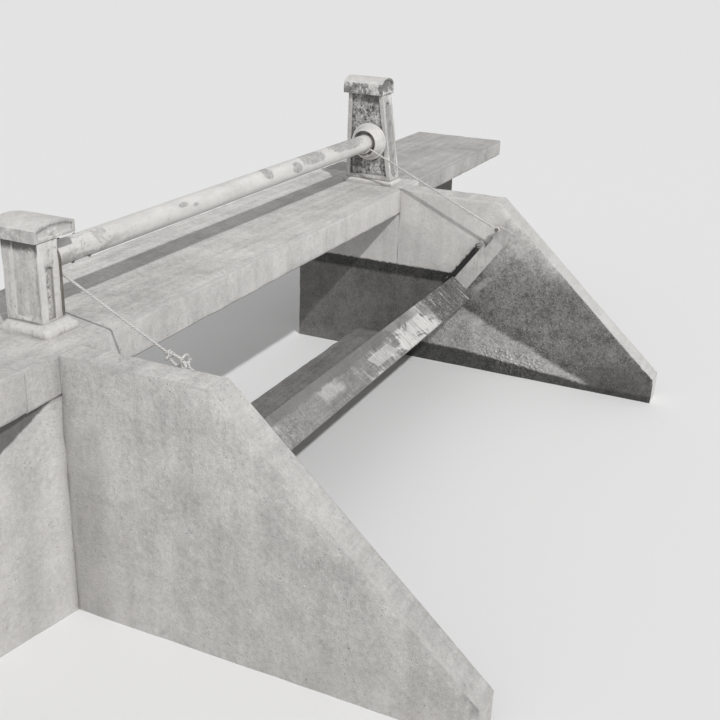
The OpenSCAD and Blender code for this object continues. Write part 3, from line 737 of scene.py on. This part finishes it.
def sweep(build, points, radius, sides=16, closed=False, up=None):
    """A round bar along the points, with its length in metres and its turn as the UV map."""
    count = len(points)
    uv = build.loops.layers.uv.verify()
    rings, lengths, normal, length = [], [], None, 0.0
    for i, point in enumerate(points):
        before = points[i - 1] if i or closed else point
        after = points[(i + 1) % count] if i < count - 1 or closed else point
        way = (after - before).normalized()
        if normal is None:
            normal = up or way.orthogonal()
        normal = (normal - way * normal.dot(way)).normalized()
        side = way.cross(normal)
        if i:
            length += (point - points[i - 1]).length
        lengths.append(length)
        rings.append([
            build.verts.new(point + radius * (normal * cos(a) + side * sin(a)))
            for a in (tau * k / sides for k in range(sides))])
    if closed:
        rings.append(rings[0])
        lengths.append(length + (points[0] - points[-1]).length)
    for ring, nxt, start, end in zip(rings, rings[1:], lengths, lengths[1:]):
        for k in range(sides):
            j = (k + 1) % sides
            face = build.faces.new((ring[k], ring[j], nxt[j], nxt[k]))
            for loop, at in zip(face.loops, ((start, k), (start, k + 1), (end, k + 1), (end, k))):
                loop[uv].uv = (at[0], at[1] / sides)
    if not closed:
        build.faces.new(list(reversed(rings[0])))
        build.faces.new(rings[-1])


def turned(build, profile, sides=72):
    """A closed ring about the tube's axis, from its profile of places along the axis and radii."""
    rings = []
    for x, radius in profile:
        turns = (tau * k / sides for k in range(sides))
        rings.append([
            build.verts.new((x, TUBE_AXIS.y + radius * cos(a), TUBE_AXIS.z + radius * sin(a)))
            for a in turns])
    for ring, nxt in zip(rings, rings[1:] + rings[:1]):
        for k in range(sides):
            j = (k + 1) % sides
            build.faces.new((ring[k], ring[j], nxt[j], nxt[k]))
    bmesh.ops.recalc_face_normals(build, faces=build.faces[:])


def ring_points(centre, first, second, radius, count=28, squash=1.0):
    """A closed ring about a centre, in the plane of two directions."""
    turns = (tau * i / count for i in range(count))
    return [centre + first * cos(a) * radius + second * sin(a) * radius * squash for a in turns]


def rope_ends(side):
    """The point where a rope leaves its hook, and the middle of its eye on the arm's pin."""
    leave = ROPE_LEAVE[side]
    hook = sum(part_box(side + "_rope_hook"), Vector()) / 2
    low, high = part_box(side + "_tip_pin")
    inboard = high.x - 0.015 if side == "near" else low.x + 0.015
    start = TUBE_AXIS - HOOK_RING * Vector((0, sin(leave), cos(leave)))
    start.x = hook.x
    return start, Vector((inboard, (low.y + high.y) / 2, (low.z + high.z) / 2))


def flap_point(x, through, along):
    """A point of the part's frame, from one in the flap's own frame."""
    c, s = cos(FLAP_LEAN), sin(FLAP_LEAN)
    return HINGE + Vector((x - HINGE.x, through * c - along * s, through * s + along * c))


def bolt_tree():
    """A node tree that sets a hexagon head on its washer at every point, facing the point's own way."""
    tree = bpy.data.node_groups.new("Bolts", "GeometryNodeTree")
    face = tree.interface
    kinds = {"Points": "Geometry", "Head width": "Float", "Head height": "Float", "Finish": "Material"}
    for name, kind in kinds.items():
        face.new_socket(name, in_out="INPUT", socket_type="NodeSocket" + kind)
    face.new_socket("Bolts", in_out="OUTPUT", socket_type="NodeSocketGeometry")
    net = Net(tree)
    given = tree.nodes.new("NodeGroupInput")
    points, width, height, finish = (Wire(net, given.outputs[i]) for i in range(4))

    def disc(sides, radius, depth, base):
        mesh = net.node("GeometryNodeMeshCylinder", Vertices=sides, Radius=radius, Depth=depth)
        lift = net.node("ShaderNodeCombineXYZ", Z=depth * 0.5 + base)
        return net.node("GeometryNodeTransform", Geometry=mesh, Translation=lift)

    washer = disc(20, width * 0.82, height * 0.22, 0.0)
    head = disc(6, width * 0.577, height, height * 0.22)
    crown = disc(12, width * 0.36, height * 0.12, height * 1.22)
    bolt = net.node("GeometryNodeJoinGeometry", Geometry=[washer, head, crown])
    way = net.node("GeometryNodeInputNamedAttribute", {"data_type": "FLOAT_VECTOR"}, Name="way")
    turn = net.node("FunctionNodeAlignRotationToVector", {"axis": "Z"}, Vector=way)
    placed = net.node("GeometryNodeInstanceOnPoints", Points=points, Instance=bolt, Rotation=turn)
    real = net.node("GeometryNodeRealizeInstances", Geometry=placed)
    done = net.node("GeometryNodeSetMaterial", Geometry=real, Material=finish)
    output = tree.nodes.new("NodeGroupOutput")
    tree.links.new(done.socket, output.inputs[0])
    return tree


def bolted(name, tree, places, width, height, material, body):
    """One mesh of bolts for a body, from a list of points and the ways they face."""
    points = bpy.data.meshes.new(name)
    points.from_pydata([at for at, way in places], [], [])
    facing = points.attributes.new("way", "FLOAT_VECTOR", "POINT")
    facing.data.foreach_set("vector", [part for at, way in places for part in way])
    base = bpy.data.objects.new(name + "_points", points)
    bpy.context.scene.collection.objects.link(base)
    modifier = base.modifiers.new("Bolts", "NODES")
    modifier.node_group = tree
    inputs = {item.name: item.identifier for item in tree.interface.items_tree if item.in_out == "INPUT"}
    for given, value in (("Head width", width), ("Head height", height), ("Finish", material)):
        modifier[inputs[given]] = value
    ready = base.evaluated_get(bpy.context.evaluated_depsgraph_get())
    mesh = bpy.data.meshes.new_from_object(ready)
    bpy.data.objects.remove(base)
    if not mesh.polygons:
        raise RuntimeError(name + " came out empty")
    return shown(name, mesh, body)


def setting(name, about, default, low, high, **more):
    """A number to set in the sidebar."""
    return FloatProperty(name=name, description=about, default=default, min=low, max=high, **more)


class ConcreteSettings(bpy.types.PropertyGroup):
    tone: setting("Tone", "Grey level of dry concrete", 0.58, 0.05, 0.9)
    # dirt also sets how strongly the painted shade in the corners shows
    dirt: setting("Dirt", "How strongly dirt shows", 0.55, 0, 1)
    post_tone: setting("Post tone", "Grey level of the posts", 0.64, 0.05, 0.9)
    chip: setting("Chips", "Depth of chips on the arrises", 0.007, 0, 0.02, unit="LENGTH")


class MetalSettings(bpy.types.PropertyGroup):
    paint: setting("Paint", "Grey level of the tube's paint", 0.70, 0.1, 0.9)
    pale: setting("Arms", "Grey level of the flap's arms", 0.62, 0.1, 0.9)
    dark: setting("Dark steel", "Grey level of bare steel", 0.16, 0.02, 0.6)
    wear: setting("Wear", "How much paint has gone", 0.75, 0, 1)


class FlapSettings(bpy.types.PropertyGroup):
    timber: setting("Boards", "Grey level of the wet boards", 0.095, 0.01, 0.6)
    crest: setting("Crest", "Grey level of the crest board", 0.24, 0.01, 0.6)
    rubber: setting("Seals", "Grey level of the rubber seals", 0.02, 0.0, 0.2)
    bolts: IntProperty(name="Bolts", description="Bolts along one seal", default=8, min=2, max=30)


class RopeSettings(bpy.types.PropertyGroup):
    tone: setting("Tone", "Grey level of the ropes", 0.66, 0.05, 0.9)
    thick: setting("Thickness", "Diameter of the ropes", 0.012, 0.004, 0.03, unit="LENGTH")


class StageSettings(bpy.types.PropertyGroup):
    floor: FloatVectorProperty(
        name="Floor", description="Colour of the floor", subtype="COLOR",
        default=(0.86, 0.86, 0.86), min=0, max=1)
    sun: setting("Key light", "Strength of the key light", 1.95, 0, 10)
    soft: setting("Key size", "How wide the key light looks", radians(1.5), 0, 0.5, subtype="ANGLE")
    sky: setting("Fill light", "Strength of the light from all round", 0.47, 0, 5)


class SLUICE_OT_concrete(bpy.types.Operator):
    """Dresses the walls, slabs and sill in weathered concrete"""
    bl_idname = "sluice.concrete"
    bl_label = "Concrete"

    def execute(self, context):
        s = context.scene.sluice_concrete
        tree = structure_tree()
        finishes = (
            (CHANNEL_NODES, "Concrete_channel", 1.05, {"channel": True}),
            (["deck_slab"], "Concrete_deck", 1.05, {}),
            (["near_approach_slab"], "Concrete_near_path", 1.05, {}),
            (["far_approach_slab"], "Concrete_far_path", 0.76, {"downstream_light": 0}),
            (["near_return_wall"], "Concrete_bank", 1.10, {"slab_shadow": SLAB_SHADOW}),
            (["far_return_wall"], "Concrete_earth_and_shade", 1.0, {"earth_and_shade": True}),
            (["sill_beam"], "Concrete_sunken", 0.35, {"contrast": 1.6}),
        )
        seed = 0.0
        for nodes, name, share, more in finishes:
            material = concrete(name, s.tone * share, s, **more)
            for node in nodes:
                weathered(node, material, tree, s.chip, seed)
                seed += 3.7
        return {"FINISHED"}


class SLUICE_OT_posts(bpy.types.Operator):
    """Dresses the two posts with their plinths and caps in worn limewash"""
    bl_idname = "sluice.posts"
    bl_label = "Posts"

    def execute(self, context):
        s = context.scene.sluice_concrete
        tree = structure_tree()
        low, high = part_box("far_post")
        bay = ((low.x + high.x) / 2, 0.052, low.z + 0.05, high.z - 0.075)
        wash = limewash("Limewash", s.post_tone, s)
        washes = {
            "near_post_cap": limewash("Limewash_near_cap", s.post_tone, s, lichen=0.30),
            "far_post": limewash("Limewash_far_post", s.post_tone, s, lichen=0.22, bay=bay),
            "far_post_cap": limewash("Limewash_far_cap", s.post_tone * 1.06, s, lichen=0.92),
        }
        for count, node in enumerate(POST_NODES):
            weathered(
                node, washes.get(node, wash), tree, s.chip * 0.7, 50 + count * 2.9,
                step=0.032, edge=0.008, swell=0.0012, reach=0.06)
        return {"FINISHED"}


class SLUICE_OT_winch(bpy.types.Operator):
    """Paints the winch tube, its bearings, journals and hooks"""
    bl_idname = "sluice.winch"
    bl_label = "Winch"

    def execute(self, context):
        s = context.scene.sluice_metal
        paint = white_paint("White_paint", s.paint, s)
        dark = dark_steel("Bare_steel", s.dark, s)
        pale = pale_steel("Pale_steel", s.pale, s)
        for node in ("winch_tube", "near_bearing_plate"):
            repaint(node, paint)
        for node in ("near_bearing_stand", "near_journal", "far_journal"):
            repaint(node, dark)
        for node in ("near_rope_hook", "far_rope_hook"):
            repaint(node, pale)
        low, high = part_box("far_bearing_sleeve")
        flange, mouth, bore = (high.z - low.z) / 2, TUBE_RADIUS + 0.028, 0.0315
        profile = [
            (high.x, flange - 0.004), (high.x - 0.004, flange), (high.x - 0.013, flange),
            (high.x - 0.018, flange - 0.003), (high.x - 0.021, flange - 0.012),
            (high.x - 0.040, flange - 0.016), (low.x + 0.020, mouth + 0.015),
            (low.x + 0.006, mouth + 0.012), (low.x, mouth + 0.008),
            (low.x, mouth + 0.002), (low.x + 0.004, mouth), (high.x - 0.008, mouth),
            (high.x - 0.008, bore), (high.x, bore),
        ]
        hub = white_paint("White_paint_hub", s.paint, s, worn=0.22)
        sleeve = piece_from("far_sleeve_hub", lambda b: turned(b, profile), hub, STRUCTURE, 30)
        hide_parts("far_bearing_sleeve")
        return {"FINISHED"}


class SLUICE_OT_flap(bpy.types.Operator):
    """Finishes the flap's boards, arms, seals and hinge"""
    bl_idname = "sluice.flap"
    bl_label = "Flap"

    def execute(self, context):
        s = context.scene.sluice_flap
        dark = bpy.data.materials["Bare_steel"]
        pale = bpy.data.materials["Pale_steel"]
        rubber = seal_rubber("Seal_rubber", s.rubber)
        repaint("flap_boards", wet_boards("Wet_boards", s.timber))
        repaint("flap_crest_board", silted_crest("Silted_crest", s.crest))
        for side in ("near", "far"):
            repaint(side + "_flap_arm", pale)
            repaint(side + "_seal_bar", pale)
            repaint(side + "_side_seal", rubber)
            repaint(side + "_tip_pin", dark)
        for node in ("flap_ribs", "flap_knuckles", "hinge_rod", "hinge_brackets"):
            repaint(node, dark)
        return {"FINISHED"}


class SLUICE_OT_bolts(bpy.types.Operator):
    """Sets the bolts of the seals, boards, bearing and tube"""
    bl_idname = "sluice.bolts"
    bl_label = "Bolts"

    def execute(self, context):
        s = context.scene.sluice_flap
        dark = bpy.data.materials["Bare_steel"]
        tree = bolt_tree()
        up_stream = flap_point(0, 1, 0) - flap_point(0, 0, 0)
        seal_x, seal_face, seal_foot, seal_run = 1.722, 0.038, 0.13, 0.79
        seals = [
            (flap_point(side * seal_x, seal_face, seal_foot + seal_run * i / (s.bolts - 1)), up_stream)
            for side in (-1, 1) for i in range(s.bolts)]
        ribs, board_face, board_foot, board_pitch = (-1.05, -0.35, 0.35, 1.05), 0.015, 0.044, 0.1092
        boards = [
            (flap_point(x + off, board_face, board_foot + board_pitch * (row + 0.5)), up_stream)
            for x in ribs for off in (-0.021, 0.021) for row in range(5)]
        bolted("flap_bolts", tree, seals + boards, 0.017, 0.007, dark, FLAP)

        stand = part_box("near_bearing_stand")
        feet = [
            (Vector((stand[1].x, TUBE_AXIS.y + off, DECK_TOP + up)), Vector((1, 0, 0)))
            for off in (-0.06, 0.06) for up in (0.085, 0.165)]
        bolted("bearing_bolts", tree, feet, 0.019, 0.008, dark, STRUCTURE)

        screws = []
        for along, turn in ((0.115, 231), (0.115, 51), (0.225, 227), (0.225, 47)):
            way = Vector((0, cos(radians(turn)), sin(radians(turn))))
            screws.append((Vector((TUBE_END + along, TUBE_AXIS.y, TUBE_AXIS.z)) + way * TUBE_RADIUS, way))
        bolted("tube_screws", tree, screws, 0.012, 0.005, dark, WINCH)
        return {"FINISHED"}


class SLUICE_OT_ropes(bpy.types.Operator):
    """Runs the ropes from the tube to the flap's arms, with their eyes, knot and shackle"""
    bl_idname = "sluice.ropes"
    bl_label = "Ropes"

    def execute(self, context):
        s = context.scene.sluice_rope
        radius = s.thick / 2
        rope = laid_rope("Rope", s.tone)
        across = Vector((1, 0, 0))

        def eye_on_pin(build, centre):
            ring = ring_points(centre, Vector((0, 1, 0)), Vector((0, 0, 1)), EYE_RADIUS)
            sweep(build, ring, radius, 12, True, across)

        # the far rope runs straight from its hook to its eye
        start, pin = rope_ends("far")
        way = (pin - start).normalized()
        top, end = start + way * HOOK_BAR, pin - way * EYE_REACH
        line = piece_from("far_rope_line", lambda b: sweep(b, [top, end], radius), rope, None)
        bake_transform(line)
        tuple(top)
        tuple(end)
        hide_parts("far_rope")
        eye = piece_from("far_rope_eye", lambda b: eye_on_pin(b, pin), rope, FLAP)
        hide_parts("far_rope")

        # the near rope runs to a knot, which stays in line with the shackle and the tail below it
        start, pin = rope_ends("near")
        way = (pin - start).normalized()
        above = way.cross(across).normalized()
        top, knot = start + way * HOOK_BAR, start + way * KNOT_AT
        line = piece_from("near_rope_line", lambda b: sweep(b, [top, knot], radius), rope, None)
        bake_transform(line)
        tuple(top)
        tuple(knot)
        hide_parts("near_rope")
        joint = start + way * SHACKLE_AT
        lean = Matrix.Rotation(radians(28), 3, way)
        pin_way, bow_way = lean @ across, lean @ above
        if bow_way.x > 0:
            pin_way, bow_way = lean.transposed() @ across, lean.transposed() @ above

        def knot_and_eye(build):
            sweep(build, [knot - way * 0.004, knot + way * 0.026], radius)
            for turn in range(3):
                centre = knot + way * (0.004 + 0.0115 * turn) + above * 0.003
                ring = ring_points(centre, (above + way * 0.25).normalized(), across, radius * 1.65, 20)
                sweep(build, ring, radius * 1.05, 10, True, way)
            stub = knot + way * 0.018 - across * 0.012
            bend, tip = stub - across * 0.018 + way * 0.003, stub - across * 0.032 + way * 0.012
            sweep(build, [stub, bend, tip], radius, 12)
            middle = joint - way * 0.033 - across * BESIDE_SHACKLE
            ring = ring_points(middle, way, above, 0.045, 36, squash=0.44)
            sweep(build, ring, radius * 1.2, 12, True, across)

        knot_piece = piece_from("near_rope_knot", knot_and_eye, rope, FLAP)
        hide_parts("near_rope")

        def shackle(build):
            half, legs, bar = 0.023, 0.044, 0.006
            bow = [joint - pin_way * half, joint - pin_way * half + bow_way * legs]
            bow += [
                joint + bow_way * (legs + half * sin(a)) - pin_way * half * cos(a)
                for a in (pi * i / 12 for i in range(1, 12))]
            bow += [joint + pin_way * half + bow_way * legs, joint + pin_way * half]
            sweep(build, bow, bar, 12)
            for end in (-1, 1):
                boss = joint + pin_way * half * end
                sweep(build, [boss - pin_way * 0.006, boss + pin_way * 0.006], 0.011, 16)
            sweep(build, [joint - pin_way * (half + 0.010), joint + pin_way * (half + 0.013)], 0.0045, 12)
            sweep(build, [joint + pin_way * (half + 0.011), joint + pin_way * (half + 0.016)], 0.009, 6)

        galvanised = bpy.data.materials["Pale_steel"]
        link = piece_from("near_rope_shackle", shackle, galvanised, FLAP)
        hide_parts("near_shackle")

        def tail(build):
            held = joint + across * BESIDE_SHACKLE + way * 0.006
            down = (pin - held).normalized()
            sweep(build, ring_points(held, way, above, 0.0135), radius, 12, True, across)
            sweep(build, [held + down * EYE_REACH, pin - down * EYE_REACH], radius)
            eye_on_pin(build, pin)

        tail_piece = piece_from("near_rope_end", tail, rope, FLAP)
        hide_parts("near_rope_tail")
        return {"FINISHED"}


class SLUICE_OT_stage(bpy.types.Operator):
    """Sets the floor, the lights and the camera"""
    bl_idname = "sluice.stage"
    bl_label = "Stage"

    def execute(self, context):
        s = context.scene.sluice_stage
        scene = context.scene
        size = 400.0
        floor = bpy.data.meshes.new("Floor")
        corners = [(-size, -size, 0), (size, -size, 0), (size, size, 0), (-size, size, 0)]
        floor.from_pydata(corners, [], [(0, 1, 2, 3)])
        f = Finish("Floor")
        f.set(Base_Color=(*s.floor, 1.0), Roughness=0.9)
        floor.materials.append(f.material)
        ground = bpy.data.objects.new("Floor", floor)
        scene.collection.objects.link(ground)

        sun = bpy.data.lights.new("Key", "SUN")
        sun.energy = s.sun
        sun.angle = s.soft
        key = bpy.data.objects.new("Key", sun)
        key.rotation_euler = LIGHT_WAY.to_track_quat("-Z", "Y").to_euler()
        scene.collection.objects.link(key)

        world = bpy.data.worlds.new("Sky")
        world.use_nodes = True
        world.node_tree.nodes.clear()
        net = Net(world.node_tree)
        light = net.node("ShaderNodeBackground", Color=(1, 1, 1, 1), Strength=s.sky)
        seen = net.node("ShaderNodeBackground", Color=(1, 1, 1, 1), Strength=1.0)
        by_eye = net.node("ShaderNodeLightPath", out="Is Camera Ray")
        both = net.node("ShaderNodeMixShader", **{"0": by_eye, "1": light, "2": seen})
        output = world.node_tree.nodes.new("ShaderNodeOutputWorld")
        net.join(both, output.inputs["Surface"])
        scene.world = world

        lens = bpy.data.cameras.new("Camera")
        lens.sensor_width = 36.0
        lens.lens = CAMERA_LENS
        lens.clip_end = 1200.0
        camera = bpy.data.objects.new("Camera", lens)
        flat = cos(CAMERA_PITCH)
        way = Vector((cos(CAMERA_YAW) * flat, sin(CAMERA_YAW) * flat, -sin(CAMERA_PITCH)))
        level = Vector((sin(CAMERA_YAW), -cos(CAMERA_YAW), 0.0))
        above = level.cross(way)
        right = cos(CAMERA_ROLL) * level + sin(CAMERA_ROLL) * above
        up = -sin(CAMERA_ROLL) * level + cos(CAMERA_ROLL) * above
        turn = Matrix((right, up, -way)).transposed()
        camera.matrix_world = Matrix.Translation(CAMERA_PLACE) @ turn.to_4x4()
        scene.collection.objects.link(camera)
        scene.camera = camera
        scene.view_settings.view_transform = "Standard"
        return {"FINISHED"}


class SLUICE_PT_panel(bpy.types.Panel):
    """Lists the sluice gate's steps and settings"""
    bl_idname = "SLUICE_PT_panel"
    bl_label = "Sluice gate"
    bl_space_type = "VIEW_3D"
    bl_region_type = "UI"
    bl_category = "Sluice gate"

    def draw(self, context):
        for group in SETTINGS:
            box = self.layout.box()
            for name in SETTINGS[group].__annotations__:
                box.prop(getattr(context.scene, group), name)
        for step in STEPS:
            self.layout.operator(step.bl_idname)


SETTINGS = {
    "sluice_concrete": ConcreteSettings,
    "sluice_metal": MetalSettings,
    "sluice_flap": FlapSettings,
    "sluice_rope": RopeSettings,
    "sluice_stage": StageSettings,
}
STEPS = (
    SLUICE_OT_stage, SLUICE_OT_concrete, SLUICE_OT_posts, SLUICE_OT_winch,
    SLUICE_OT_flap, SLUICE_OT_bolts, SLUICE_OT_ropes,
)


def register():
    for cls in (*SETTINGS.values(), *STEPS, SLUICE_PT_panel):
        bpy.utils.register_class(cls)
    for group, cls in SETTINGS.items():
        setattr(bpy.types.Scene, group, PointerProperty(type=cls))


def unregister():
    for group in SETTINGS:
        delattr(bpy.types.Scene, group)
    for cls in (SLUICE_PT_panel, *reversed(STEPS), *reversed(SETTINGS.values())):
        bpy.utils.unregister_class(cls)


def main():
    register()
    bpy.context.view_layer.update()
    for step in STEPS:
        group, name = step.bl_idname.split(".")
        getattr(getattr(bpy.ops, group), name)()


if __name__ == "__main__":
    main()
